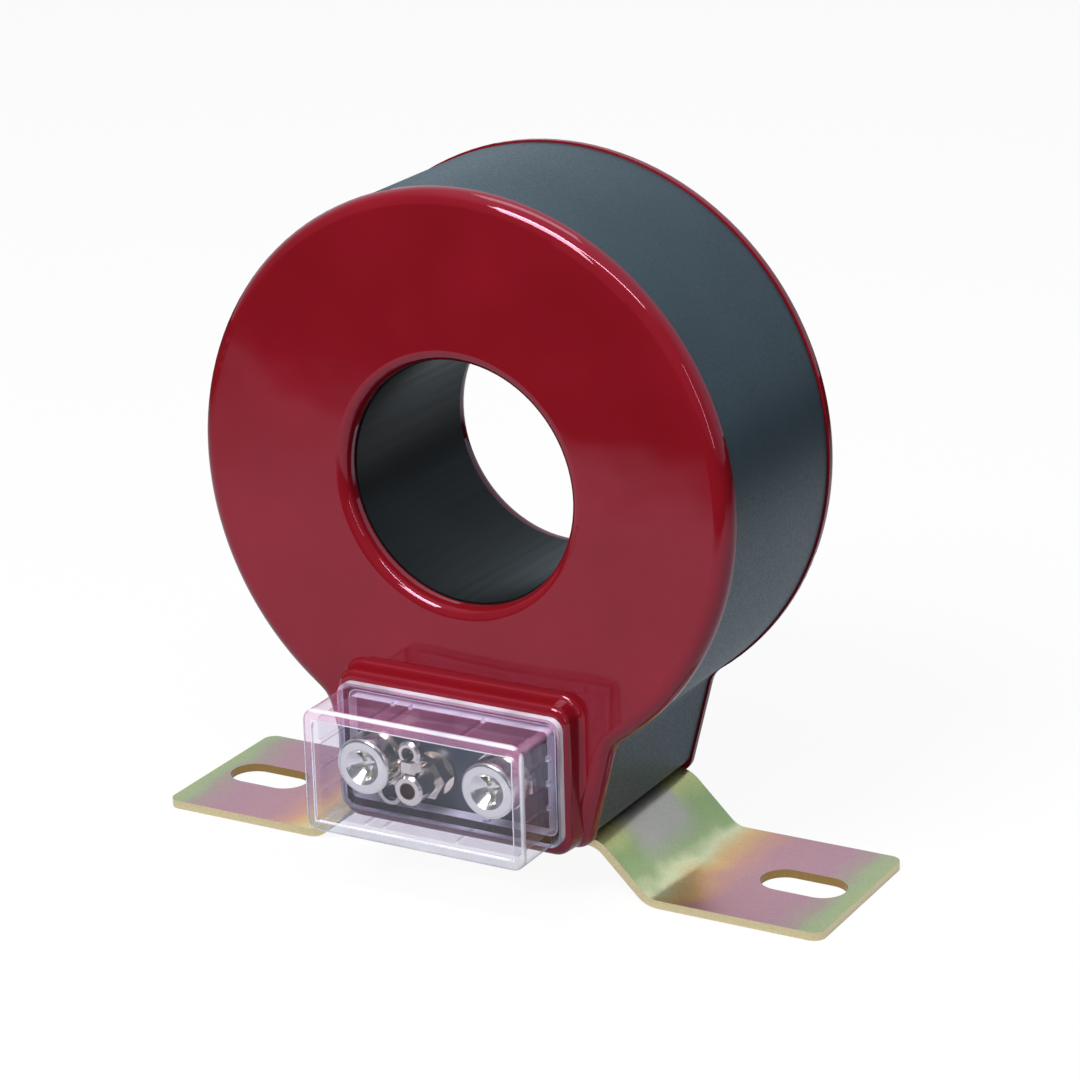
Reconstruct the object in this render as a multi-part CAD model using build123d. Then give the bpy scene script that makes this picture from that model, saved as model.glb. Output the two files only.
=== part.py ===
from build123d import *
import os
from math import atan, cos, degrees, sqrt, tan

# Window-type current transformer, in millimetres.
# X runs across the front, Y runs through the window from front to rear, Z is up.
# The origin lies on the plane of the feet, midway between them and under the middle
# of the ring's depth. The front faces -Y.

# Case: a ring on a narrow base, closed by a red cover at each end of a dark band
ring_diameter = 100.0
case_depth = 41.0
window_diameter = 42.0
window_height = 70.5
shoulder_half = 27.8
shoulder_drop = 41.4
base_side_margin = 1.8
neck_fillet = 5.5
base_corner = 3.4
cover_face = 2.2
cover_wall = 1.6
skirt_depth = 3.2
rim_radius = 2.6
rear_skirt_depth = 2.7
rear_rim_radius = 2.0
lip_radius = 2.0
lip_depth = 3.2
lip_step = 0.3
seam_gap = 0.25
band_step = 0.35
band_wall = 2.5
band_floor = 3.0
liner_wall = 2.0
collar_wall = 1.4

# Wound core inside the case
pad_thickness = 4.1
coil_side_gap = 2.0
tape_thickness = 0.8
winding_thickness = 2.2
winding_gap_angle = 12.0
cheek_thickness = 1.2
pad_length = 10.0
pad_height = 8.0

# Terminal boss on the front cover, with a pocket for the terminal panel
block_height = 23.2
boss_depth = 4.0
boss_side_margin = 1.2
boss_top_margin = 2.2
boss_foot_gap = 0.2
boss_draft = 0.4
boss_corner = 3.2
boss_edge_radius = 1.2
boss_root_radius = 1.0
pocket_corner = 1.6
panel_thickness = 2.2
panel_ledge = 1.4

# Clear terminal cover
box_width = 42.0
box_height = 22.0
box_depth = 13.3
box_wall = 1.8
box_front_wall = 1.8
box_corner = 2.4
box_edge_radius = 0.7
tongue_thickness = 0.65
tongue_depth = 1.2
frame_width = 1.9
frame_recess = 0.4
rim_step = 0.45
rim_width = 1.4
rib_height = 0.45
rib_width = 0.8

# Screw terminals
post_rise = 0.4
post_diameter = 9.2
post_length = 5.0
stud_diameter = 4.0
stud_length = 7.0
screw_diameter = 4.2
screw_reach = 4.2
screw_head_diameter = 10.0
screw_head_height = 3.5
head_edge_radius = 0.7
recess_diameter = 6.4
recess_floor_diameter = 2.6
recess_depth = 1.5
cross_length = 5.6
cross_width = 1.3
cross_depth = 2.5
clamp_diameter = 10.4
clamp_thickness = 1.0
clamp_ear_reach = 6.0
clamp_ear_width = 2.4
clamp_wall_gap = 1.2
spring_diameter = 9.2
spring_thickness = 1.3
spring_split = 1.1
washer_hole_gap = 0.5
tab_thickness = 0.8
tab_tail_radius = 2.3
tab_tail_hole = 1.6
tab_tail_x = 1.7
tab_tail_drop = 6.4

# Sealing post and its eyelet
seal_offset = 8.0
seal_drop = 3.0
seal_flange_diameter = 7.8
seal_flange_thickness = 0.8
seal_hex = 6.6
seal_hex_length = 3.1
seal_nose_diameter = 5.4
seal_length = 9.6
seal_tap_diameter = 2.8
seal_tap_depth = 6.0
eyelet_diameter = 4.4
eyelet_hole = 2.4
eyelet_thickness = 2.2
eyelet_collar = 3.4
eyelet_collar_height = 1.9
eyelet_neck = 0.6
eyelet_stem_diameter = 1.8
eyelet_stem_sink = 1.2
eyelet_setback = 1.6

# Connections behind the panel
nut_across_flats = 7.0
nut_thickness = 3.2
seal_nut_across_flats = 6.0
seal_nut_thickness = 2.6
seal_stud_diameter = 3.0
lug_thickness = 0.8
lug_diameter = 7.8
lug_reach_x = 4.5
lug_reach_z = 6.1
barrel_diameter = 2.8
barrel_length = 3.0
wire_diameter = 1.6
lead_bend = 1.6
lead_straight = 1.1
lead_inset = 5.5

# Mounting strap: one strip bent down to two slotted feet
strap_side_gap = 0.4
strap_thickness = 1.5
strap_top = 10.6
strap_length = 128.8
bend_margin = 0.8
bend_run = 9.3
bend_radius = 4.0
foot_corner = 2.2
slot_length = 15.5
slot_width = 8.5
slot_end_margin = 10.9

# Strap screws and the inserts that they turn into
insert_spacing = 24.0
insert_diameter = 6.0
insert_length = 7.5
insert_boss_wall = 2.0
insert_boss_roof = 2.4
strap_screw_diameter = 3.3
strap_hole_diameter = 4.5
strap_head_diameter = 8.0
strap_head_height = 2.5
strap_washer_diameter = 9.0
strap_washer_hole = 4.3
strap_washer_thickness = 0.8

# Clearances: between pieces that fit together, round threads, and where a coil or a
# liner is seated
fit = 0.15
thread_gap = 0.1
seat_gap = 0.3
turning_gap = 0.05

# Sizes that follow from the ones above
ring_radius = ring_diameter / 2
window_radius = window_diameter / 2
face_y = -case_depth / 2
plate_back_y = face_y + cover_face
strap_underside = strap_top - strap_thickness
cover_bottom = strap_underside
base_half = box_width / 2 + base_side_margin
bend_high_half = base_half + bend_margin
bend_low_half = bend_high_half + bend_run
slot_spacing = strap_length - 2 * slot_end_margin
strap_width = case_depth - 2 * (skirt_depth + strap_side_gap)
lean = atan((shoulder_half - base_half) / (window_height - shoulder_drop - cover_bottom))
lip_inner_radius = window_radius + lip_step
liner_outer_radius = window_radius + liner_wall
liner_half = case_depth / 2 - lip_depth - fit
collar_inner_radius = liner_outer_radius + fit
collar_outer_radius = collar_inner_radius + collar_wall
band_front_y = face_y + skirt_depth + seam_gap
band_rear_y = case_depth / 2 - rear_skirt_depth - seam_gap
band_inset = band_step + band_wall
coil_half = case_depth / 2 - cover_face - pad_thickness
coil_inner_radius = liner_outer_radius + seat_gap
coil_outer_radius = ring_radius - band_inset - coil_side_gap
collar_y = -coil_half - seat_gap

boss_y = face_y - boss_depth
boss_half = box_width / 2 + boss_side_margin
boss_top = block_height + box_height / 2 + boss_top_margin
pocket_inset = box_wall - tongue_thickness - fit
pocket_half = box_width / 2 - pocket_inset
pocket_half_height = box_height / 2 - pocket_inset
panel_front_y = boss_y + tongue_depth + 2 * fit
panel_back_y = panel_front_y + panel_thickness

post_x = box_width / 2 - box_wall - clamp_wall_gap - clamp_ear_reach
post_z = block_height + post_rise
post_front_y = panel_front_y - post_length
clamp_front_y = post_front_y - clamp_thickness
spring_front_y = clamp_front_y - spring_thickness
head_back_y = spring_front_y - turning_gap
head_front_y = head_back_y - screw_head_height
shank_radius = screw_diameter / 2
washer_hole_radius = shank_radius + washer_hole_gap
stud_end_y = panel_front_y + stud_length
lug_x = post_x - lug_reach_x
lug_z = post_z + lug_reach_z
seal_x = seal_offset - post_x
seal_z = block_height - seal_drop
entry_radius = coil_outer_radius - lead_inset
entry_z = window_height - sqrt(entry_radius**2 - lug_x**2)
window_axis = Axis((0, 0, window_height), (0, 1, 0))


def slab(sketch, y_front, y_back):
    """Solid between two depths, from a sketch drawn in X and Z."""
    flat = Plane.XZ.offset(-y_back) * sketch
    return extrude(flat, amount=y_back - y_front, dir=(0, -1, 0))


def rod(x, z, radius, y_front, y_back):
    """Round rod along Y."""
    return slab(Pos(x, z) * Circle(radius), y_front, y_back)


def ring(outer, inner, y_front, y_back):
    """Ring round the window's axis."""
    return slab(Pos(0, window_height) * (Circle(outer) - Circle(inner)), y_front, y_back)


def upright(x, radius, z_low, z_high):
    """Round rod along Z, in the middle of the case's depth."""
    return extrude(Plane.XY.offset(z_low) * Pos(x, 0) * Circle(radius), amount=z_high - z_low)


def rounded_box(half_width, half_height, corner, y_front, y_back):
    """Box round the terminal block's middle, with its four long edges rounded."""
    outline = RectangleRounded(2 * half_width, 2 * half_height, corner)
    return slab(Pos(0, block_height) * outline, y_front, y_back)


def case_outline(inset=0.0, bottom=cover_bottom):
    """The case's outline: ring and leaning base, moved inward by inset."""
    bottom = max(bottom, cover_bottom + inset)
    base_top = window_height - ring_radius / 2

    def half_at(z):
        return base_half + (z - cover_bottom) * tan(lean) - inset / cos(lean)

    base = Polygon(
        (-half_at(bottom), bottom),
        (half_at(bottom), bottom),
        (half_at(base_top), base_top),
        (-half_at(base_top), base_top),
    )
    outline = Pos(0, window_height) * Circle(ring_radius - inset) + base
    necks = outline.vertices().sort_by(Axis.Y)[2:4]
    outline = fillet(necks, neck_fillet + inset)
    corners = outline.vertices().sort_by(Axis.Y)[:2]
    return fillet(corners, max(base_corner - inset, base_corner / 4))


def edges_at_window(part, y, radius):
    """The circular edges round the window at one depth and radius."""
    circles = part.edges().filter_by(GeomType.CIRCLE)
    return circles.filter_by(
        lambda edge: abs(edge.center().Y - y) < 0.01 and abs(edge.radius - radius) < 0.01
    )


def cover_shell(depth, radius):
    """Shell without a boss: face, rolled rim, skirt of the given depth, window collar."""
    shell = slab(case_outline(), face_y, face_y + depth)
    shell = fillet(shell.faces().sort_by(Axis.Y)[0].edges(), radius)
    shell -= slab(case_outline(cover_wall), plate_back_y, face_y + depth)
    shell += ring(collar_outer_radius, lip_inner_radius, face_y + cover_face / 2, collar_y)
    shell -= rod(0, window_height, lip_inner_radius, face_y, collar_y)
    shell -= rod(0, window_height, collar_inner_radius, face_y + lip_depth, collar_y)
    return fillet(edges_at_window(shell, face_y, lip_inner_radius), lip_radius)


def boss_blank():
    """Block with rounded corners and a little draft, its root filleted on the face."""
    root_y = face_y + cover_face / 2
    bottom = cover_bottom + boss_foot_gap
    half = boss_half + boss_draft
    height = boss_top + boss_draft - bottom
    middle = bottom + height / 2
    outline = Pos(0, middle) * RectangleRounded(2 * half, height, boss_corner + boss_draft)
    reach = root_y - boss_y
    flat = Plane.XZ.offset(-root_y) * outline
    block = extrude(flat, amount=reach, taper=degrees(atan(boss_draft / reach)))
    block = fillet(block.faces().sort_by(Axis.Y)[0].edges(), boss_edge_radius)

    spread = 4 * boss_root_radius
    plate = Pos(0, middle) * Rectangle(2 * half + spread, height + spread)
    rooted = block + slab(plate, face_y, root_y)
    at_face = rooted.edges().filter_by(lambda edge: abs(edge.center().Y - face_y) < 0.01)
    rooted = fillet(
        at_face.filter_by(
            lambda edge: abs(edge.center().X) < half and abs(edge.center().Z - middle) < height / 2
        ),
        boss_root_radius,
    )
    return block + (rooted & slab(case_outline(rim_radius), boss_y, root_y))


def front_cover():
    """Front shell with the terminal boss, its pocket and the opening behind it."""
    part = cover_shell(skirt_depth, rim_radius) + boss_blank()
    part -= rounded_box(pocket_half, pocket_half_height, pocket_corner, boss_y, panel_back_y)
    part -= rounded_box(
        pocket_half - panel_ledge,
        pocket_half_height - panel_ledge,
        pocket_corner,
        panel_back_y,
        plate_back_y,
    )
    return part


def rear_cover():
    """Mirror image of a shell with a shorter skirt, without a boss."""
    return mirror(cover_shell(rear_skirt_depth, rear_rim_radius), about=Plane.XZ)


def insert_seats(radius, z_low, z_high):
    """Pair of upright rods, one at each strap screw."""
    half = insert_spacing / 2
    return upright(-half, radius, z_low, z_high) + upright(half, radius, z_low, z_high)


def case_band():
    """Dark band: outer wall, a spigot into each cover and seats for the inserts."""
    spigot_half = case_depth / 2 - cover_face - fit
    part = slab(case_outline(band_step, strap_top), band_front_y, band_rear_y)
    part += slab(case_outline(cover_wall + fit), -spigot_half, spigot_half)
    inside = case_outline(band_inset, strap_top + band_floor)
    part -= slab(inside, -spigot_half, spigot_half)
    seat_radius = insert_diameter / 2 + fit
    seat_top = strap_top + insert_length + fit
    part += insert_seats(seat_radius + insert_boss_wall, strap_top, seat_top + insert_boss_roof)
    return part - insert_seats(seat_radius, strap_top, seat_top)


def window_liner():
    """Dark tube between the covers' lips."""
    return ring(liner_outer_radius, window_radius, -liner_half, liner_half)


def coil_layer(depth_in):
    """Half width, inner and outer radius of the coil, depth_in below its surface."""
    return coil_half - depth_in, coil_inner_radius + depth_in, coil_outer_radius - depth_in


def hollow_ring(outside, thickness, sweep=360.0):
    """Ring of box section with a hollow inside, swept round the window's axis."""
    half, inner, outer = outside
    middle = window_height - (inner + outer) / 2
    section = Rectangle(2 * half, outer - inner)
    section -= Rectangle(2 * (half - thickness), outer - inner - 2 * thickness)
    profile = Plane.YZ * Pos(0, middle) * section
    turned = revolve(profile, axis=window_axis, revolution_arc=sweep)
    return turned.rotate(window_axis, (360 - sweep) / 2)


def winding_tape():
    """Outer wrap of the coil, with a hole for each lead."""
    part = hollow_ring(coil_layer(0), tape_thickness)
    for x in (-lug_x, lug_x):
        part -= rod(x, entry_z, wire_diameter / 2 + fit, -coil_half, tape_thickness - coil_half)
    return part


def secondary_winding():
    """Copper wire round the core, wound nearly all the way round."""
    layer = coil_layer(tape_thickness + fit)
    return hollow_ring(layer, winding_thickness, 360 - winding_gap_angle)


def core_section():
    """Half width with its cheeks, inner and outer radius of the steel core."""
    return coil_layer(tape_thickness + winding_thickness + 2 * fit)


def core():
    """Steel strip wound into a ring."""
    half, inner, outer = core_section()
    half -= cheek_thickness
    return ring(outer, inner, -half, half)


def core_cheek(side):
    """Insulating ring on one end of the core: side -1 is the front, 1 the rear."""
    half, inner, outer = core_section()
    near, far = sorted((side * (half - cheek_thickness), side * half))
    return ring(outer, inner, near, far)


def pads(side):
    """Three rubber pads between the coil and one cover, as separate solids."""
    near, far = sorted((side * coil_half, side * (coil_half + pad_thickness)))
    middle = (coil_inner_radius + coil_outer_radius) / 2
    solids = []
    for angle in (90, 210, 330):
        place = Pos(0, window_height) * Rot(0, 0, angle) * Pos(middle, 0)
        outline = place * RectangleRounded(pad_height, pad_length, pad_height / 4)
        solids.append(slab(outline, near, far))
    return Compound(children=solids)


def terminal_panel():
    """Slate-coloured insert that carries the three posts."""
    part = rounded_box(
        pocket_half - fit,
        pocket_half_height - fit,
        pocket_corner - fit,
        panel_front_y,
        panel_back_y,
    )
    for x in (-post_x, post_x):
        part -= rod(x, post_z, stud_diameter / 2 + fit, panel_front_y, panel_back_y)
    return part - rod(seal_x, seal_z, seal_stud_diameter / 2 + fit, panel_front_y, panel_back_y)


def terminal_post(side):
    """Plated post with a tapped hole in front and a stud through the panel."""
    x = side * post_x
    front = post_front_y + (tab_thickness if side < 0 else 0)
    part = rod(x, post_z, post_diameter / 2, front, panel_front_y)
    part = chamfer(part.edges().group_by(Axis.Y)[0], 0.3)
    part += rod(x, post_z, stud_diameter / 2, panel_front_y, stud_end_y)
    bottom = post_front_y + screw_reach + seat_gap
    return part - rod(x, post_z, shank_radius + thread_gap, front, bottom)


def solder_tab():
    """Flat tab with a round eye, held under the left clamp washer."""
    eye = Circle(clamp_diameter / 2)
    tail = Pos(tab_tail_x, -tab_tail_drop) * Circle(tab_tail_radius)
    outline = make_hull((eye + tail).edges())
    outline -= Circle(washer_hole_radius)
    outline -= Pos(tab_tail_x, -tab_tail_drop) * Circle(tab_tail_hole)
    return slab(Pos(-post_x, post_z) * outline, post_front_y, post_front_y + tab_thickness)


def clamp_washer(side):
    """Flat washer with an ear on each side."""
    outline = Circle(clamp_diameter / 2) + Rectangle(2 * clamp_ear_reach, clamp_ear_width)
    outline -= Circle(washer_hole_radius)
    return slab(Pos(side * post_x, post_z) * outline, clamp_front_y, post_front_y)


def spring_washer(side):
    """Split spring washer, its split at the top and slanting."""
    outline = Circle(spring_diameter / 2) - Circle(washer_hole_radius)
    split = Pos(0, spring_diameter / 2) * Rectangle(spring_split, spring_diameter)
    place = Pos(side * post_x, post_z) * Rot(0, 0, 25)
    return slab(place * (outline - split), spring_front_y, clamp_front_y)


def cross_recess(x):
    """Round funnel in a screw head, with a cross-shaped recess that narrows downward."""
    cone = Cone(recess_floor_diameter / 2, recess_diameter / 2, recess_depth)
    recess = Pos(x, head_front_y + recess_depth / 2, post_z) * Rot(90, 0, 0) * cone
    for angle in (20, 110):
        mouth = Rectangle(cross_length, cross_width)
        floor = Rectangle(cross_length / 2, cross_width / 2)
        place = Pos(x, post_z) * Rot(0, 0, angle)
        wide = Plane.XZ.offset(-head_front_y) * place * mouth
        narrow = Plane.XZ.offset(-head_front_y - cross_depth) * place * floor
        recess += loft([narrow, wide])
    return recess


def terminal_screw(side):
    """Pan-head screw, its recess open to the front."""
    x = side * post_x
    head = rod(x, post_z, screw_head_diameter / 2, head_front_y, head_back_y)
    head = fillet(head.edges().group_by(Axis.Y)[0], head_edge_radius)
    shank = rod(x, post_z, shank_radius, head_back_y, post_front_y + screw_reach)
    return head + shank - cross_recess(x)


def seal_post():
    """Sealing post: flange, hexagon, turned nose with a tapped hole, and a stud."""
    flange_y = panel_front_y - seal_flange_thickness
    hexagon_y = flange_y - seal_hex_length
    front_y = panel_front_y - seal_length
    hexagon = RegularPolygon(seal_hex / 2, 6, major_radius=False)
    part = rod(seal_x, seal_z, seal_flange_diameter / 2, flange_y, panel_front_y)
    part += slab(Pos(seal_x, seal_z) * hexagon, hexagon_y, flange_y)
    nose = rod(seal_x, seal_z, seal_nose_diameter / 2, front_y, hexagon_y)
    part += chamfer(nose.edges().group_by(Axis.Y)[0], 0.4)
    part += rod(seal_x, seal_z, seal_stud_diameter / 2, panel_front_y, stud_end_y)
    part -= rod(seal_x, seal_z, seal_tap_diameter / 2, front_y, front_y + seal_tap_depth)
    cross_hole = eyelet_stem(thread_gap)
    return part - cross_hole


def eyelet_upright(outline, z_low, z_high):
    """Piece of the eyelet's stem, between two heights."""
    y = panel_front_y - seal_length + eyelet_setback
    return extrude(Plane.XY.offset(z_low) * Pos(seal_x, y) * outline, amount=z_high - z_low)


def eyelet_stem(grow=0.0):
    """The eyelet's stem, from inside the sealing post's nose up into its collar."""
    nose_top = seal_z + seal_nose_diameter / 2
    stem = Circle(eyelet_stem_diameter / 2 + grow)
    return eyelet_upright(stem, nose_top - eyelet_stem_sink, nose_top + eyelet_neck)


def seal_eyelet():
    """Small ring on a six-sided collar, screwed into the sealing post."""
    y = panel_front_y - seal_length + eyelet_setback
    collar_low = seal_z + seal_nose_diameter / 2 + eyelet_neck
    collar_high = collar_low + eyelet_collar_height
    z = collar_low + eyelet_collar_height / 2 + eyelet_diameter / 2
    half = eyelet_thickness / 2
    eye = slab(Pos(seal_x, z) * Circle(eyelet_diameter / 2), y - half, y + half)
    collar = RegularPolygon(eyelet_collar / 2, 6, major_radius=False)
    part = chamfer(eye.edges().filter_by(GeomType.CIRCLE), 0.45)
    part += eyelet_upright(collar, collar_low, collar_high) + eyelet_stem()
    return part - rod(seal_x, z, eyelet_hole / 2, y - eyelet_collar, y + eyelet_collar)


def stud_nuts():
    """Three nuts behind the panel, as separate solids."""
    solids = []
    lug_back_y = panel_back_y + lug_thickness
    for x in (-post_x, post_x):
        outline = RegularPolygon(nut_across_flats / 2, 6, major_radius=False)
        outline -= Circle(stud_diameter / 2 + thread_gap)
        solids.append(slab(Pos(x, post_z) * outline, lug_back_y, lug_back_y + nut_thickness))
    outline = RegularPolygon(seal_nut_across_flats / 2, 6, major_radius=False)
    outline -= Circle(seal_stud_diameter / 2 + thread_gap)
    back_y = panel_back_y + seal_nut_thickness
    solids.append(slab(Pos(seal_x, seal_z) * outline, panel_back_y, back_y))
    return Compound(children=solids)


def ring_lug(side):
    """Ring lug under the stud nut, with a barrel that points to the coil."""
    x = side * post_x
    barrel_x = side * lug_x
    eye = Circle(lug_diameter / 2)
    tail = Pos(barrel_x - x, lug_reach_z) * Circle(barrel_diameter / 2)
    plate = make_hull((eye + tail).edges()) - Circle(stud_diameter / 2 + fit)
    lug_back_y = panel_back_y + lug_thickness
    part = slab(Pos(x, post_z) * plate, panel_back_y, lug_back_y)
    barrel_back_y = lug_back_y + barrel_length - lug_thickness
    part += rod(barrel_x, lug_z, barrel_diameter / 2, lug_back_y, barrel_back_y)
    return part - rod(barrel_x, lug_z, wire_diameter / 2 + thread_gap, panel_back_y, barrel_back_y)


def lead_wire(side):
    """End of the winding's wire: out of its lug, up beside the coil and into the tape."""
    x = side * lug_x
    lug_y = panel_back_y + lug_thickness
    coil_y = tape_thickness + fit - coil_half
    leave_y = panel_back_y + barrel_length + lead_straight
    enter_y = -coil_half - lead_straight / 2
    path = FilletPolyline(
        (x, lug_y, lug_z), (x, leave_y, lug_z), (x, enter_y, entry_z), (x, coil_y, entry_z),
        radius=lead_bend,
    )
    start = Plane(origin=path @ 0, z_dir=path % 0)
    return sweep(start * Circle(wire_diameter / 2), path=path)


def box_ribs():
    """Thin ribs inside the terminal cover, along its depth."""
    half = box_width / 2 - box_wall
    half_height = box_height / 2 - box_wall
    ribs = []
    for x in (-box_width / 4, -box_width / 6, box_width / 6):
        for side in (-1, 1):
            z = side * (half_height - rib_height / 2 + fit)
            ribs.append(Pos(x, block_height + z) * Rectangle(rib_width, rib_height + 2 * fit))
    for z in (-box_height / 5, 0, box_height / 5):
        for side in (-1, 1):
            x = side * (half - rib_height / 2 + fit)
            ribs.append(Pos(x, block_height + z) * Rectangle(rib_height + 2 * fit, rib_width))
    return ribs


def terminal_cover():
    """Clear box over the terminals, with a tongue into the boss's pocket."""
    half = box_width / 2
    half_height = box_height / 2
    front_y = boss_y - box_depth
    part = rounded_box(half, half_height, box_corner, front_y, boss_y)
    part = fillet(part.faces().sort_by(Axis.Y)[0].edges(), box_edge_radius)
    part += rounded_box(
        half + rim_step, half_height + rim_step, box_corner, boss_y - rim_width, boss_y
    )
    tongue_inset = pocket_inset + fit
    part += rounded_box(
        half - tongue_inset,
        half_height - tongue_inset,
        pocket_corner - fit,
        boss_y,
        boss_y + tongue_depth,
    )
    part -= rounded_box(
        half - frame_width,
        half_height - frame_width,
        box_corner / 2,
        front_y,
        front_y + frame_recess,
    )
    inner_y = front_y + frame_recess + box_front_wall
    part -= rounded_box(
        half - box_wall,
        half_height - box_wall,
        pocket_corner - fit - tongue_thickness,
        inner_y,
        boss_y + tongue_depth,
    )
    for rib in box_ribs():
        part += slab(rib, inner_y, boss_y)
    return part


def strap_profile():
    """Section of the bent strap, seen from the front."""
    end = strap_length / 2
    top = strap_top
    low = strap_thickness
    bend = atan((top - low) / (bend_low_half - bend_high_half))
    mitre = strap_thickness * tan(bend / 2)
    upper = [(bend_high_half, top), (bend_low_half, low), (end, low)]
    lower = [(end, 0), (bend_low_half - mitre, 0), (bend_high_half - mitre, top - low)]
    right = upper + lower
    left = [(-x, z) for x, z in reversed(right)]
    profile = Polygon(*right, *left)

    def bends(x, z):
        return profile.vertices().filter_by(
            lambda v: abs(abs(v.X) - x) < 0.01 and abs(v.Y - z) < 0.01
        )

    inner = bend_radius
    outer = bend_radius + strap_thickness
    profile = fillet(bends(bend_high_half, top), outer)
    profile = fillet(bends(bend_high_half - mitre, top - low), inner)
    profile = fillet(bends(bend_low_half, low), inner)
    return fillet(bends(bend_low_half - mitre, 0), outer)


def mounting_strap():
    """One steel strip under the base, bent down to two slotted feet."""
    part = slab(strap_profile(), -strap_width / 2, strap_width / 2)
    ends = part.edges().filter_by(Axis.Z)
    part = fillet(ends, foot_corner)
    for side in (-1, 1):
        slot = Pos(side * slot_spacing / 2, 0) * SlotOverall(slot_length, slot_width)
        part -= extrude(slot, amount=strap_thickness)
    return part - insert_seats(strap_hole_diameter / 2, strap_underside, strap_top)


def threaded_inserts():
    """Two brass inserts in the base, as separate solids."""
    solids = []
    for side in (-1, 1):
        x = side * insert_spacing / 2
        body = upright(x, insert_diameter / 2, strap_top, strap_top + insert_length)
        bore = upright(
            x, strap_screw_diameter / 2 + thread_gap, strap_top, strap_top + insert_length
        )
        solids.append(body - bore)
    return Compound(children=solids)


def strap_washers():
    """Two plain washers under the strap screws' heads, as separate solids."""
    low = strap_underside - strap_washer_thickness
    solids = []
    for side in (-1, 1):
        x = side * insert_spacing / 2
        body = upright(x, strap_washer_diameter / 2, low, strap_underside)
        solids.append(body - upright(x, strap_washer_hole / 2, low, strap_underside))
    return Compound(children=solids)


def strap_screws():
    """Two screws that hold the case down on the strap, as separate solids."""
    head_top = strap_underside - strap_washer_thickness
    solids = []
    for side in (-1, 1):
        x = side * insert_spacing / 2
        head = upright(x, strap_head_diameter / 2, head_top - strap_head_height, head_top)
        head = chamfer(head.edges().group_by(Axis.Z)[0], strap_head_height / 4)
        shank_top = strap_top + insert_length - seat_gap
        solids.append(head + upright(x, strap_screw_diameter / 2, head_top, shank_top))
    return Compound(children=solids)


nodes = {
    "front_cover": front_cover(),
    "rear_cover": rear_cover(),
    "case_band": case_band(),
    "window_liner": window_liner(),
    "core": core(),
    "core_cheek_front": core_cheek(-1),
    "core_cheek_rear": core_cheek(1),
    "secondary_winding": secondary_winding(),
    "winding_tape": winding_tape(),
    "pads_front": pads(-1),
    "pads_rear": pads(1),
    "terminal_panel": terminal_panel(),
    "seal_post": seal_post(),
    "seal_eyelet": seal_eyelet(),
    "solder_tab": solder_tab(),
    "stud_nuts": stud_nuts(),
    "terminal_cover": terminal_cover(),
    "mounting_strap": mounting_strap(),
    "threaded_inserts": threaded_inserts(),
    "strap_washers": strap_washers(),
    "strap_screws": strap_screws(),
}
for name, side in (("left", -1), ("right", 1)):
    nodes["terminal_post_" + name] = terminal_post(side)
    nodes["clamp_washer_" + name] = clamp_washer(side)
    nodes["spring_washer_" + name] = spring_washer(side)
    nodes["terminal_screw_" + name] = terminal_screw(side)
    nodes["ring_lug_" + name] = ring_lug(side)
    nodes["lead_wire_" + name] = lead_wire(side)

os.makedirs("parts", exist_ok=True)
for name, part in nodes.items():
    export_step(part, "parts/" + name + ".step")
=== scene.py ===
import bpy
from math import cos, radians, sin
from mathutils import Matrix, Vector

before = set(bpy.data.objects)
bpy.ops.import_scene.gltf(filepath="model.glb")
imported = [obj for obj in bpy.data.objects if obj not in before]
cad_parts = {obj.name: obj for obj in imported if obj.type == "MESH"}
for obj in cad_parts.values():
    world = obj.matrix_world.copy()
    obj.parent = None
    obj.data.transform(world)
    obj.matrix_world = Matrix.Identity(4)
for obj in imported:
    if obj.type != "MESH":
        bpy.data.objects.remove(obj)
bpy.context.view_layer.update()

MM = 0.001
RING_CENTRE = Vector((0, 0, 70.5 * MM))


def linear(hex_colour):
    """An sRGB hex colour as linear RGBA."""
    channels = [int(hex_colour[i : i + 2], 16) / 255 for i in (1, 3, 5)]
    return [c / 12.92 if c <= 0.04045 else ((c + 0.055) / 1.055) ** 2.4 for c in channels] + [1]


def add(tree, kind, links=None, values=None, stops=None, **settings):
    """Adds a node: settings are its properties, values and links its inputs, stops its colours."""
    node = tree.nodes.new(kind)
    for name, value in settings.items():
        setattr(node, name, value)
    for name, value in (values or {}).items():
        node.inputs[name].default_value = value
    for name, socket in (links or {}).items():
        tree.links.new(socket, node.inputs[name])
    if stops:
        elements = node.color_ramp.elements
        elements.remove(elements[1])
        elements[0].position, elements[0].color = stops[0][0], linear(stops[0][1])
        for place, colour in stops[1:]:
            elements.new(place).color = linear(colour)
    return node


def new_material(name, colour="#808080", **values):
    """A material, its tree and its Principled shader, whose named inputs are set."""
    material = bpy.data.materials.new(name)
    material.use_nodes = True
    tree = material.node_tree
    shader = tree.nodes["Principled BSDF"]
    shader.inputs["Base Color"].default_value = linear(colour)
    for key, value in values.items():
        shader.inputs[key.replace("_", " ")].default_value = value
    return material, tree, shader


def dress(material, *nodes):
    """Gives CAD nodes a material."""
    for name in nodes:
        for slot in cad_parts[name].material_slots:
            slot.material = material


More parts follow.
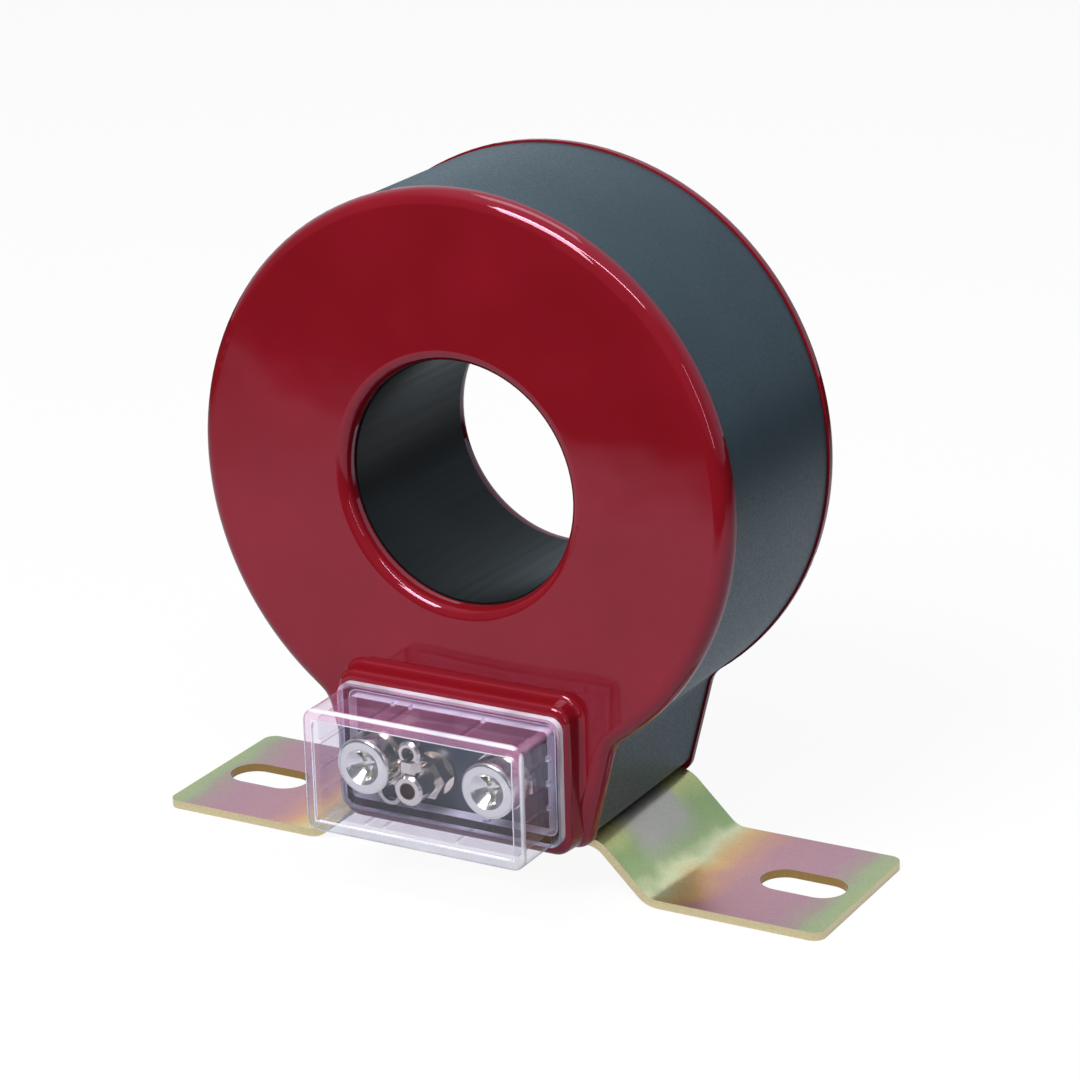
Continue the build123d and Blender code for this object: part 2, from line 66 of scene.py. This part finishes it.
def red_abs():
    """Red ABS, moulded in a polished cavity: deep gloss, with slow waves and slow changes of
    tone where the melt flowed. The waves are drawn deeper than real ones, so that they show."""
    flow_width, wave_width, wave_height = 22 * MM, 26 * MM, 0.5 * MM
    material, tree, shader = new_material(
        "red_abs_polished", Roughness=0.05, IOR=1.54, Specular_Tint=linear("#FFC6E2")
    )
    where = add(tree, "ShaderNodeTexCoord").outputs["Object"]
    flow = add(
        tree, "ShaderNodeTexNoise", {"Vector": where}, {"Scale": 1 / flow_width, "Detail": 2.0}
    )
    tone = add(
        tree, "ShaderNodeValToRGB", {"Fac": flow.outputs["Fac"]},
        stops=[(0.3, "#760F18"), (0.7, "#80121E")],
    )
    tree.links.new(tone.outputs["Color"], shader.inputs["Base Color"])
    waves = add(
        tree, "ShaderNodeTexNoise", {"Vector": where}, {"Scale": 1 / wave_width, "Detail": 1.5}
    )
    bump = add(
        tree, "ShaderNodeBump", {"Height": waves.outputs["Fac"]},
        {"Strength": 1.0, "Distance": wave_height},
    )
    tree.links.new(bump.outputs["Normal"], shader.inputs["Normal"])
    return material


def dark_abs():
    """Blue-black ABS from a blasted cavity: satin, with a fine grain that breaks up
    highlights. The grain is about 0.1 mm wide and is drawn 0.5 mm wide, so that it shows."""
    cloud_width, grain_width, grain_height = 16 * MM, 0.5 * MM, 0.05 * MM
    material, tree, shader = new_material(
        "dark_abs_satin", IOR=1.54, Specular_Tint=linear("#B4CDDC")
    )
    where = add(tree, "ShaderNodeTexCoord").outputs["Object"]
    cloud = add(
        tree, "ShaderNodeTexNoise", {"Vector": where}, {"Scale": 1 / cloud_width, "Detail": 3.0}
    )
    grain = add(
        tree, "ShaderNodeTexNoise", {"Vector": where}, {"Scale": 1 / grain_width, "Detail": 2.0}
    )
    tone = add(
        tree, "ShaderNodeValToRGB", {"Fac": cloud.outputs["Fac"]},
        stops=[(0.3, "#212D35"), (0.7, "#27343D")],
    )
    tree.links.new(tone.outputs["Color"], shader.inputs["Base Color"])
    rough = add(
        tree, "ShaderNodeMapRange", {"Value": grain.outputs["Fac"]},
        {"From Min": 0.35, "From Max": 0.65, "To Min": 0.34, "To Max": 0.46},
    )
    tree.links.new(rough.outputs["Result"], shader.inputs["Roughness"])
    bump = add(
        tree, "ShaderNodeBump", {"Height": grain.outputs["Fac"]},
        {"Strength": 0.25, "Distance": grain_height},
    )
    tree.links.new(bump.outputs["Normal"], shader.inputs["Normal"])
    return material


def liner_abs():
    """Black ABS tube, moulded on a dull core pin: nearly matte, with faint drag marks along
    its length, drawn 1.2 mm wide so that they show."""
    mark_width, mark_length = 1.2 * MM, 30 * MM
    material, tree, shader = new_material(
        "liner_abs_dull", "#0D0F10", IOR=1.54, Specular_IOR_Level=0.12
    )
    where = add(tree, "ShaderNodeTexCoord").outputs["Object"]
    along = add(
        tree, "ShaderNodeMapping", {"Vector": where},
        {"Scale": (1 / mark_width, 1 / mark_length, 1 / mark_width)},
    )
    marks = add(
        tree, "ShaderNodeTexNoise", {"Vector": along.outputs["Vector"]},
        {"Scale": 1.0, "Detail": 2.0},
    )
    rough = add(
        tree, "ShaderNodeMapRange", {"Value": marks.outputs["Fac"]},
        {"From Min": 0.3, "From Max": 0.7, "To Min": 0.36, "To Max": 0.44},
    )
    tree.links.new(rough.outputs["Result"], shader.inputs["Roughness"])
    return material


def slate_abs():
    """Slate-coloured ABS insert, moulded: satin, with a faint cloud in its colour."""
    cloud_width = 6 * MM
    material, tree, shader = new_material("slate_abs_satin", Roughness=0.3, IOR=1.54)
    where = add(tree, "ShaderNodeTexCoord").outputs["Object"]
    cloud = add(
        tree, "ShaderNodeTexNoise", {"Vector": where}, {"Scale": 1 / cloud_width, "Detail": 3.0}
    )
    tone = add(
        tree, "ShaderNodeValToRGB", {"Fac": cloud.outputs["Fac"]},
        stops=[(0.3, "#29303B"), (0.7, "#313946")],
    )
    tree.links.new(tone.outputs["Color"], shader.inputs["Base Color"])
    return material


# The clear cover, as the CAD has it, in mm: half its width and height, the height of its
# middle, the width of the frame on its front, and the planes of its front and its rim.
COVER = dict(half=21, half_height=11, middle=23.2, frame=1.9, front=-37.8, rim=-25.9)


def clear_polycarbonate():
    """Clear polycarbonate, moulded and polished: its walls let light through and gloss at
    grazing angles. Its edges carry painted highlights in a pale layer, and the haze in the
    walls is pink at the top, a painted reflection of the red case beside it, and grey at the
    bottom."""
    # Strength of the painted highlights: on the outlines and the rim, and on the face and long
    # edges.
    line_highlight, edge_highlight = 0.85, 0.27
    haze_falloff, gloss_falloff, gloss_head_on = 4.8, 5.0, 0.04
    cloud_width = 9 * MM
    material, tree, haze_and_highlight = new_material("clear_polycarbonate", "#E4DFF3", Roughness=0.12, IOR=1.58)
    where = add(tree, "ShaderNodeTexCoord").outputs["Object"]
    axes = add(tree, "ShaderNodeSeparateXYZ", {0: where}).outputs
    across = add(tree, "ShaderNodeMath", {0: axes["X"]}, operation="ABSOLUTE").outputs[0]
    lifted = add(
        tree, "ShaderNodeMath", {0: axes["Z"]}, {1: COVER["middle"] * MM}, operation="SUBTRACT"
    ).outputs[0]
    upright = add(tree, "ShaderNodeMath", {0: lifted}, operation="ABSOLUTE").outputs[0]

    # How far a point lies outside the frame's inner edge: to the side, up or down, the larger
    # of the two, which leads round the frame, and the smaller, above 0 only in its corners.
    past_side = add(
        tree, "ShaderNodeMath", {0: across}, {1: (COVER["half"] - COVER["frame"]) * MM},
        operation="SUBTRACT",
    ).outputs[0]
    past_level = add(
        tree, "ShaderNodeMath", {0: upright}, {1: (COVER["half_height"] - COVER["frame"]) * MM},
        operation="SUBTRACT",
    ).outputs[0]
    past = add(
        tree, "ShaderNodeMath", {0: past_side, 1: past_level}, operation="MAXIMUM"
    ).outputs[0]
    corner = add(
        tree, "ShaderNodeMath", {0: past_side, 1: past_level}, operation="MINIMUM"
    ).outputs[0]
    near = add(tree, "ShaderNodeMath", {0: past}, operation="ABSOLUTE").outputs[0]

    # From 0 to 1, between two places in mm: near the front plane, at the rim, on the frame's
    # face, along its inner and its outer outline, and along the four edges that run back.
    front, rim, frame_face, inner_line, outer_line, long_edges = (
        add(
            tree, "ShaderNodeMapRange", {"Value": socket},
            {"From Min": begin * MM, "From Max": end * MM},
        ).outputs["Result"]
        for socket, begin, end in (
            (axes["Y"], COVER["front"] + 1.2, COVER["front"] + 0.8),
            (axes["Y"], COVER["rim"] - 0.1, COVER["rim"] + 0.1),
            (past, -0.1, 0.1),
            (near, 0.28, 0.1),
            (past, 1.3, 1.6),
            (corner, 0.2, 1.0),
        )
    )

    # The share of the pale layer: painted highlights, strongest along the frame's two outlines
    # and the rim and weaker on the frame's face and the four long edges, and elsewhere haze,
    # more the more a wall is seen edge on.
    outlines = add(
        tree, "ShaderNodeMath", {0: inner_line, 1: outer_line}, operation="MAXIMUM"
    ).outputs[0]
    in_front = add(
        tree, "ShaderNodeMath", {0: outlines, 1: front}, operation="MULTIPLY"
    ).outputs[0]
    lines = add(tree, "ShaderNodeMath", {0: in_front, 1: rim}, operation="MAXIMUM").outputs[0]
    bright = add(
        tree, "ShaderNodeMath", {0: lines}, {1: line_highlight}, operation="MULTIPLY"
    ).outputs[0]
    face = add(tree, "ShaderNodeMath", {0: frame_face, 1: front}, operation="MULTIPLY").outputs[0]
    broad = add(tree, "ShaderNodeMath", {0: face, 1: long_edges}, operation="MAXIMUM").outputs[0]
    soft = add(tree, "ShaderNodeMath", {0: broad}, {1: edge_highlight}, operation="MULTIPLY").outputs[0]
    facing = add(tree, "ShaderNodeLayerWeight", values={"Blend": 0.5}).outputs["Facing"]
    milk = add(
        tree, "ShaderNodeMath", {0: facing}, {1: haze_falloff}, operation="POWER"
    ).outputs[0]
    cloud = add(
        tree, "ShaderNodeTexNoise", {"Vector": where}, {"Scale": 1 / cloud_width, "Detail": 2.0}
    )
    uneven = add(
        tree, "ShaderNodeMapRange", {"Value": cloud.outputs["Fac"]},
        {"From Min": 0.3, "From Max": 0.7, "To Min": 0.7, "To Max": 1.3},
    ).outputs["Result"]
    edges = add(tree, "ShaderNodeMath", {0: bright, 1: soft}, operation="MAXIMUM").outputs[0]
    glow = add(tree, "ShaderNodeMath", {0: edges, 1: milk}, operation="MAXIMUM").outputs[0]
    share = add(tree, "ShaderNodeMath", {0: glow, 1: uneven}, operation="MULTIPLY").outputs[0]
    height = add(
        tree, "ShaderNodeMapRange", {"Value": lifted},
        {"From Min": -COVER["half_height"] * MM, "From Max": COVER["half_height"] * MM},
    ).outputs["Result"]
    # The tint by height: pink at the top is a painted reflection of the red case, then mauve, and
    # grey at the bottom.
    tint = add(
        tree, "ShaderNodeValToRGB", {"Fac": height},
        stops=[(0.0, "#8E9EA8"), (0.5, "#9A8CA0"), (1.0, "#FFA6DA")],
    )
    # Along the outlines and the rim the pale layer is near white: painted highlights.
    colour = add(
        tree, "ShaderNodeMix", {0: lines, 6: tint.outputs["Color"]}, {7: linear("#E8E6F6")},
        data_type="RGBA",
    ).outputs[2]
    tree.links.new(colour, haze_and_highlight.inputs["Base Color"])

    through = add(tree, "ShaderNodeBsdfTransparent", values={"Color": linear("#FCFAFE")})
    gloss = add(
        tree, "ShaderNodeBsdfGlossy", values={"Color": linear("#F4F2FC"), "Roughness": 0.04}
    )
    grazing = add(
        tree, "ShaderNodeMath", {0: facing}, {1: gloss_falloff}, operation="POWER"
    ).outputs[0]
    gleam = add(
        tree, "ShaderNodeMapRange", {"Value": grazing}, {"To Min": gloss_head_on, "To Max": 1.0}
    ).outputs["Result"]
    wall = add(
        tree, "ShaderNodeMixShader",
        {0: gleam, 1: through.outputs["BSDF"], 2: gloss.outputs["BSDF"]},
    )
    surface = add(
        tree, "ShaderNodeMixShader",
        {0: share, 1: wall.outputs["Shader"], 2: haze_and_highlight.outputs["BSDF"]},
    )
    tree.links.new(surface.outputs["Shader"], tree.nodes["Material Output"].inputs["Surface"])
    return material


def plated(name, colour, roughness, mark, bore=None):
    """Plated metal: the plate's colour and gloss, broken up by the marks of turning, stamping
    or heading under it. They are drawn mark mm wide, coarser than they are, so that they
    show. A bore, given in mm by its axis in X and Z and its radius, is tapped after plating,
    so it shows bare brass."""
    mark_height, bore_blur = 0.05 * MM, 0.05 * MM
    material, tree, shader = new_material(name, colour, Metallic=1.0)
    where = add(tree, "ShaderNodeTexCoord").outputs["Object"]
    if bore:
        x, z, radius = (length * MM for length in bore)
        flat = add(tree, "ShaderNodeVectorMath", {0: where}, {1: (1, 0, 1)}, operation="MULTIPLY")
        reach = add(
            tree, "ShaderNodeVectorMath", {0: flat.outputs[0]}, {1: (x, 0, z)},
            operation="DISTANCE",
        ).outputs["Value"]
        bare = add(
            tree, "ShaderNodeMapRange", {"Value": reach},
            {"From Min": radius, "From Max": radius + bore_blur, "To Min": 1.0, "To Max": 0.0},
        ).outputs["Result"]
        metal = add(
            tree, "ShaderNodeMix", {0: bare}, {6: linear(colour), 7: linear("#A87A3C")},
            data_type="RGBA",
        )
        tree.links.new(metal.outputs[2], shader.inputs["Base Color"])
    marks = add(
        tree, "ShaderNodeTexNoise", {"Vector": where}, {"Scale": 1 / (mark * MM), "Detail": 3.0}
    )
    rough = add(
        tree, "ShaderNodeMapRange", {"Value": marks.outputs["Fac"]},
        {"From Min": 0.3, "From Max": 0.7, "To Min": roughness * 0.7, "To Max": roughness * 1.3},
    )
    tree.links.new(rough.outputs["Result"], shader.inputs["Roughness"])
    bump = add(
        tree, "ShaderNodeBump", {"Height": marks.outputs["Fac"]},
        {"Strength": 0.1, "Distance": mark_height},
    )
    tree.links.new(bump.outputs["Normal"], shader.inputs["Normal"])
    return material


def passivated_zinc():
    """Steel strip, zinc plated and yellow passivated: a thin film whose interference colours
    change along each foot, from green on the slope through gold to mauve and green again.
    A pale band on the lower bend is a painted highlight."""
    wander_width, wander = 11 * MM, 2 * MM
    mark_width, mark_length = 0.5 * MM, 7 * MM
    grain_width, grain_height = 0.35 * MM, 0.05 * MM
    film_from, film_to = 20 * MM, 66 * MM
    slot_side, strip_end, blur = 4.5 * MM, 63.1 * MM, 0.1 * MM
    material, tree, shader = new_material("passivated_zinc", Metallic=0.82)
    where = add(tree, "ShaderNodeTexCoord")
    axes = add(tree, "ShaderNodeSeparateXYZ", {0: where.outputs["Object"]}).outputs
    drift = add(
        tree, "ShaderNodeTexNoise", {"Vector": where.outputs["Object"]},
        {"Scale": 1 / wander_width, "Detail": 2.0},
    )
    shift = add(
        tree, "ShaderNodeMapRange", {"Value": drift.outputs["Fac"]},
        {"From Min": 0.25, "From Max": 0.75, "To Min": -wander, "To Max": wander},
    ).outputs["Result"]

    # The film's colours, by their distance in mm from the middle of the strip. The pale stop
    # at 33.2 mm, on the lower bend, is a painted highlight.
    across = add(tree, "ShaderNodeMath", {0: axes["X"]}, operation="ABSOLUTE").outputs[0]
    place = add(tree, "ShaderNodeMath", {0: across, 1: shift}, operation="ADD").outputs[0]
    along = add(
        tree, "ShaderNodeMapRange", {"Value": place},
        {"From Min": film_from, "From Max": film_to},
    ).outputs["Result"]
    film_and_highlight = add(
        tree, "ShaderNodeValToRGB", {"Fac": along},
        stops=[
            ((at * MM - film_from) / (film_to - film_from), colour)
            for at, colour in (
                (22.0, "#E6D592"), (25.0, "#C4C684"), (27.5, "#A6B67C"), (31.0, "#B2C088"),
                (33.2, "#F4EDBC"), (35.0, "#FAD79C"), (37.6, "#F8BE80"), (40.6, "#E6A292"),
                (44.0, "#D4979E"), (55.0, "#CC949F"), (59.5, "#C0A396"), (62.0, "#B6BC8C"),
                (64.4, "#BDC088"),
            )
        ],
    ).outputs["Color"]

    # Near the case, the middle of each slope has a silvery patch, where the film is thinnest.
    beside = add(tree, "ShaderNodeMath", {0: axes["Y"]}, operation="ABSOLUTE").outputs[0]
    drifted = add(tree, "ShaderNodeMath", {0: beside, 1: shift}, operation="SUBTRACT").outputs[0]
    centre = add(
        tree, "ShaderNodeMapRange", {"Value": drifted},
        {"From Min": 5 * MM, "From Max": 11 * MM, "To Min": 0.85, "To Max": 0.0},
    ).outputs["Result"]
    on_slope = add(
        tree, "ShaderNodeMapRange", {"Value": across},
        {"From Min": 27.5 * MM, "From Max": 31 * MM, "To Min": 1.0, "To Max": 0.0},
    ).outputs["Result"]
    patch = add(tree, "ShaderNodeMath", {0: centre, 1: on_slope}, operation="MULTIPLY").outputs[0]
    silvered = add(
        tree, "ShaderNodeMix", {0: patch, 6: film_and_highlight}, {7: linear("#C9B9B4")}, data_type="RGBA"
    ).outputs[2]

    # The cut edges and the slots' walls face sideways. Their film is thin: pale gold outside.
    # In the slots the walls are painted darker brown: painted shade.
    facing = add(tree, "ShaderNodeSeparateXYZ", {0: where.outputs["Normal"]}).outputs["Z"]
    upward = add(tree, "ShaderNodeMath", {0: facing}, operation="ABSOLUTE").outputs[0]
    cut = add(
        tree, "ShaderNodeMapRange", {"Value": upward},
        {"From Min": 0.3, "From Max": 0.5, "To Min": 1.0, "To Max": 0.0},
    ).outputs["Result"]
    within_slot = add(
        tree, "ShaderNodeMapRange", {"Value": beside},
        {"From Min": slot_side + blur, "From Max": slot_side - blur},
    ).outputs["Result"]
    within_end = add(
        tree, "ShaderNodeMapRange", {"Value": across},
        {"From Min": strip_end + blur, "From Max": strip_end - blur},
    ).outputs["Result"]
    in_slot = add(
        tree, "ShaderNodeMath", {0: within_slot, 1: within_end}, operation="MULTIPLY"
    ).outputs[0]
    edge_film_and_slot_shade = add(
        tree, "ShaderNodeMix", {0: in_slot}, {6: linear("#D8C69C"), 7: linear("#9C7B48")},
        data_type="RGBA",
    ).outputs[2]
    colour = add(
        tree, "ShaderNodeMix", {0: cut, 6: silvered, 7: edge_film_and_slot_shade}, data_type="RGBA"
    ).outputs[2]

    # Rolling marks run along the strip and streak its gloss, and the plating's grain breaks up
    # its colour in specks. Both are finer than 0.1 mm and drawn coarser, so that they show.
    rolled = add(
        tree, "ShaderNodeMapping", {"Vector": where.outputs["Object"]},
        {"Scale": (1 / mark_length, 1 / mark_width, 1 / mark_length)},
    ).outputs["Vector"]
    marks = add(tree, "ShaderNodeTexNoise", {"Vector": rolled}, {"Scale": 1.0, "Detail": 3.0})
    rough = add(
        tree, "ShaderNodeMapRange", {"Value": marks.outputs["Fac"]},
        {"From Min": 0.3, "From Max": 0.7, "To Min": 0.27, "To Max": 0.3},
    )
    tree.links.new(rough.outputs["Result"], shader.inputs["Roughness"])
    grain = add(
        tree, "ShaderNodeTexNoise", {"Vector": where.outputs["Object"]},
        {"Scale": 1 / grain_width, "Detail": 2.0},
    ).outputs["Fac"]
    depth = add(
        tree, "ShaderNodeMapRange", {"Value": grain},
        {"From Min": 0.35, "From Max": 0.65, "To Min": 0.94, "To Max": 1.06},
    ).outputs["Result"]
    toned = add(tree, "ShaderNodeVectorMath", {0: colour, "Scale": depth}, operation="SCALE")
    tree.links.new(toned.outputs[0], shader.inputs["Base Color"])
    bump = add(
        tree, "ShaderNodeBump", {"Height": grain}, {"Strength": 0.2, "Distance": grain_height}
    )
    tree.links.new(bump.outputs["Normal"], shader.inputs["Normal"])
    return material


def inner_finish(name, dark, pale, grain, **values):
    """The finish of a piece inside the case: its colour in two tones, mottled by a grain of
    that many mm."""
    material, tree, shader = new_material(name, **values)
    where = add(tree, "ShaderNodeTexCoord").outputs["Object"]
    cloud = add(
        tree, "ShaderNodeTexNoise", {"Vector": where}, {"Scale": 1 / (grain * MM), "Detail": 3.0}
    )
    tone = add(
        tree, "ShaderNodeValToRGB", {"Fac": cloud.outputs["Fac"]},
        stops=[(0.35, dark), (0.65, pale)],
    )
    tree.links.new(tone.outputs["Color"], shader.inputs["Base Color"])
    return material


dress(red_abs(), "front_cover", "rear_cover")
dress(dark_abs(), "case_band")
dress(liner_abs(), "window_liner")
dress(slate_abs(), "terminal_panel")
dress(clear_polycarbonate(), "terminal_cover")
dress(passivated_zinc(), "mounting_strap")

# Nickel plate on turned and stamped brass: warm silver, bright.
dress(
    plated("nickel_plate_turned", "#DCD6CC", 0.16, 0.8),
    "terminal_post_left", "terminal_post_right", "seal_eyelet",
    "clamp_washer_left", "clamp_washer_right", "spring_washer_left", "spring_washer_right",
)
dress(plated("nickel_plate_tapped", "#DCD6CC", 0.16, 0.8, bore=(-4, 20.2, 1.5)), "seal_post")
# Nickel plate on cold-headed steel: paler, with the softer marks of the heading die.
dress(
    plated("nickel_plate_headed", "#E9E8DF", 0.2, 1.6),
    "terminal_screw_left", "terminal_screw_right",
)
# Tin plate on stamped copper: greyer and duller than the nickel.
dress(
    plated("tin_plate", "#CBC8BE", 0.25, 1.2),
    "solder_tab", "ring_lug_left", "ring_lug_right",
)
# Clear zinc plate on steel: a cool grey, satin.
dress(plated("zinc_plate", "#BEC1C4", 0.28, 1.0), "strap_washers", "strap_screws")

# Turned brass, left bare: yellow, satin.
dress(
    inner_finish("brass_turned", "#B98E48", "#C79C54", 1.5, Metallic=1.0, Roughness=0.3),
    "stud_nuts", "threaded_inserts",
)
# Wound strip of rolled steel: grey, half matt, with a fine grain.
dress(
    inner_finish("core_steel_wound", "#6A6C70", "#7C7E82", 0.4, Metallic=1.0, Roughness=0.4),
    "core",
)
# Copper wire under clear enamel: red-brown, half glossy.
dress(
    inner_finish("enamelled_copper", "#9C4A24", "#B25C30", 1.2, Metallic=1.0, Roughness=0.3),
    "secondary_winding", "lead_wire_left", "lead_wire_right",
)
# Polyester tape, wound: yellow, glossy, with wide soft changes of tone.
dress(inner_finish("polyester_tape", "#C9BA62", "#D6C874", 8.0, Roughness=0.25), "winding_tape")
# Pressboard, cut: buff and matt, mottled by its fibres.
dress(
    inner_finish("pressboard", "#B9AA84", "#CABC98", 1.0, Roughness=0.8),
    "core_cheek_front", "core_cheek_rear",
)
# Rubber, cut: near black and matt.
dress(
    inner_finish("pad_rubber", "#1A1A1A", "#262626", 1.0, Roughness=0.7),
    "pads_front", "pads_rear",
)

# The camera stands at the photograph's angle. Azimuth and elevation, in degrees, lead from
# the ring's centre to it, and yaw, pitch and roll turn it away from that line. Its lens and
# the width of its sensor are in mm.
CAMERA = dict(
    azimuth=29.894, elevation=17.872, distance=624.75 * MM,
    yaw=-0.351, pitch=1.361, roll=-1.495, lens=123.2, sensor=36,
)


def direction(azimuth, elevation):
    """The unit vector of an azimuth, which is 0 at the front, and an elevation, in radians."""
    level = cos(elevation)
    return Vector((sin(azimuth) * level, -cos(azimuth) * level, sin(elevation)))


def place_camera(azimuth, elevation, distance, yaw, pitch, roll, lens, sensor):
    """Makes the camera and gives it to the scene."""
    away = direction(radians(azimuth), radians(elevation))
    turned = radians(azimuth + yaw)
    back = direction(turned, radians(elevation + pitch))
    level = Vector((cos(turned), sin(turned), 0))
    above = back.cross(level)
    tilt = radians(roll)
    right = cos(tilt) * level + sin(tilt) * above
    up = cos(tilt) * above - sin(tilt) * level
    data = bpy.data.cameras.new("camera")
    data.sensor_width = sensor
    data.lens = lens
    camera = bpy.data.objects.new("camera", data)
    turn = Matrix((right, up, back)).transposed().to_4x4()
    camera.matrix_world = Matrix.Translation(RING_CENTRE + away * distance) @ turn
    bpy.context.scene.collection.objects.link(camera)
    bpy.context.scene.camera = camera


place_camera(**CAMERA)


def softbox(name, place, width, height, power):
    """A white rectangular studio lamp, aimed at the middle of the object. Metres and watts."""
    middle = Vector((0, 0, 0.06))
    data = bpy.data.lights.new(name, "AREA")
    data.shape = "RECTANGLE"
    data.size = width
    data.size_y = height
    data.energy = power
    lamp = bpy.data.objects.new(name, data)
    lamp.location = place
    lamp.rotation_euler = (middle - Vector(place)).to_track_quat("-Z", "Y").to_euler()
    bpy.context.scene.collection.objects.link(lamp)


# The key lights the faces from the front, left and above. A long strip over it draws the
# thin highlights along the rims, a small upright one those on the right, and the top lamp
# lights what faces up from behind.
softbox("key", (-0.1, -0.8, 0.9), 0.45, 0.45, 12.4)
softbox("strip_over", (0.15, -0.55, 0.87), 1.0, 0.05, 5.0)
softbox("strip_side", (0.75, -0.5, 0.3), 0.04, 0.4, 0.5)
softbox("top", (-0.1, 0.3, 1.1), 0.6, 0.4, 2.5)


def studio():
    """The room round the object. The camera sees it white. Glossy surfaces show it cool and
    bright behind the object and overhead, and dim in front, and matte ones get little light
    from it."""
    behind, in_front, overhead, matte_light = 0.85, 0.22, 0.8, 0.05
    world = bpy.data.worlds.new("studio")
    world.use_nodes = True
    tree = world.node_tree
    rays = add(tree, "ShaderNodeLightPath").outputs

    # A direction's Y is 1 straight behind the object, and its Z is 1 straight up.
    towards = add(tree, "ShaderNodeTexCoord").outputs["Generated"]
    axes = add(tree, "ShaderNodeSeparateXYZ", {0: towards}).outputs
    backdrop = add(
        tree, "ShaderNodeMapRange", {"Value": axes["Y"]},
        {"From Min": -0.25, "From Max": 0.45, "To Min": in_front, "To Max": behind},
    ).outputs["Result"]
    ceiling = add(
        tree, "ShaderNodeMapRange", {"Value": axes["Z"]},
        {"From Min": 0.55, "From Max": 0.85, "To Min": 0.0, "To Max": overhead},
    ).outputs["Result"]
    room = add(tree, "ShaderNodeMath", {0: backdrop, 1: ceiling}, operation="MAXIMUM").outputs[0]
    indirect = add(
        tree, "ShaderNodeMix", {0: rays["Is Glossy Ray"], 3: room}, {2: matte_light},
        data_type="FLOAT",
    ).outputs[0]
    direct = add(
        tree, "ShaderNodeMath", {0: rays["Is Camera Ray"], 1: rays["Is Transmission Ray"]},
        operation="MAXIMUM",
    ).outputs[0]
    strength = add(
        tree, "ShaderNodeMix", {0: direct, 2: indirect}, {3: 1.0}, data_type="FLOAT"
    ).outputs[0]
    colour = add(
        tree, "ShaderNodeMix", {0: direct}, {6: linear("#DBEDF9"), 7: linear("#FFFFFF")},
        data_type="RGBA",
    ).outputs[2]
    background = tree.nodes["Background"]
    tree.links.new(strength, background.inputs["Strength"])
    tree.links.new(colour, background.inputs["Color"])
    return world


bpy.context.scene.world = studio()
bpy.context.scene.view_settings.view_transform = "Standard"


def pale_floor():
    """Pale matte table top. The camera sees it nearly white, with the object's shadow. Glossy
    surfaces show it cool and pale round the object and dark further off, past a slanting
    line in front and past a circle all round, in metres. It throws back less than half the
    light that falls on it, which leaves the object's sides dark."""
    slant, front_from, front_to = -0.23, -0.190, -0.228
    circle_from, circle_to = 0.21, 0.45
    darkest, held_back = 0.95, 0.55
    camera_glow, mirrored_glow = 0.93, 0.6
    material, tree, matte = new_material("pale_table_top", "#F2F2F2", Roughness=0.9)
    rays = add(tree, "ShaderNodeLightPath").outputs
    where = add(tree, "ShaderNodeTexCoord").outputs["Object"]
    ahead = add(
        tree, "ShaderNodeVectorMath", {0: where}, {1: (slant, 1, 0)}, operation="DOT_PRODUCT"
    ).outputs["Value"]
    past_front = add(
        tree, "ShaderNodeMapRange", {"Value": ahead}, {"From Min": front_from, "From Max": front_to}
    ).outputs["Result"]
    reach = add(tree, "ShaderNodeVectorMath", {0: where}, operation="LENGTH").outputs["Value"]
    past_circle = add(
        tree, "ShaderNodeMapRange", {"Value": reach},
        {"From Min": circle_from, "From Max": circle_to},
    ).outputs["Result"]
    beyond = add(
        tree, "ShaderNodeMath", {0: past_front, 1: past_circle}, operation="MAXIMUM"
    ).outputs[0]
    faded = add(
        tree, "ShaderNodeMath", {0: beyond}, {1: darkest}, operation="MULTIPLY"
    ).outputs[0]

    # Below 0 for glossy rays, which get only the fading. Others lose at least this share.
    unlit = add(
        tree, "ShaderNodeMath", {1: rays["Is Glossy Ray"]}, {0: held_back}, operation="SUBTRACT"
    ).outputs[0]
    dark_share = add(
        tree, "ShaderNodeMath", {0: faded, 1: unlit}, operation="MAXIMUM"
    ).outputs[0]

    white = add(tree, "ShaderNodeEmission", values={"Strength": 1.0})
    cool = add(
        tree, "ShaderNodeEmission", values={"Color": linear("#D6E6F2"), "Strength": 0.88}
    )
    black = add(tree, "ShaderNodeEmission", values={"Strength": 0.0})
    mirrored = add(
        tree, "ShaderNodeMath", {0: rays["Is Glossy Ray"]}, {1: mirrored_glow},
        operation="MULTIPLY",
    ).outputs[0]
    pale = add(
        tree, "ShaderNodeMixShader",
        {0: mirrored, 1: matte.outputs["BSDF"], 2: cool.outputs["Emission"]},
    )
    indirect = add(
        tree, "ShaderNodeMixShader",
        {0: dark_share, 1: pale.outputs["Shader"], 2: black.outputs["Emission"]},
    )
    direct = add(
        tree, "ShaderNodeMixShader",
        {1: matte.outputs["BSDF"], 2: white.outputs["Emission"]}, {0: camera_glow},
    )
    surface = add(
        tree, "ShaderNodeMixShader",
        {0: rays["Is Camera Ray"], 1: indirect.outputs["Shader"], 2: direct.outputs["Shader"]},
    )
    tree.links.new(surface.outputs["Shader"], tree.nodes["Material Output"].inputs["Surface"])
    return material


# The floor's edges lie this many metres from the middle, out of the camera's sight.
EDGE = 3
floor_mesh = bpy.data.meshes.new("floor")
floor_mesh.from_pydata(
    [(-EDGE, -EDGE, 0), (EDGE, -EDGE, 0), (EDGE, EDGE, 0), (-EDGE, EDGE, 0)],
    [], [(0, 1, 2, 3)],
)
floor = bpy.data.objects.new("floor", floor_mesh)
bpy.context.scene.collection.objects.link(floor)
floor_mesh.materials.append(pale_floor())
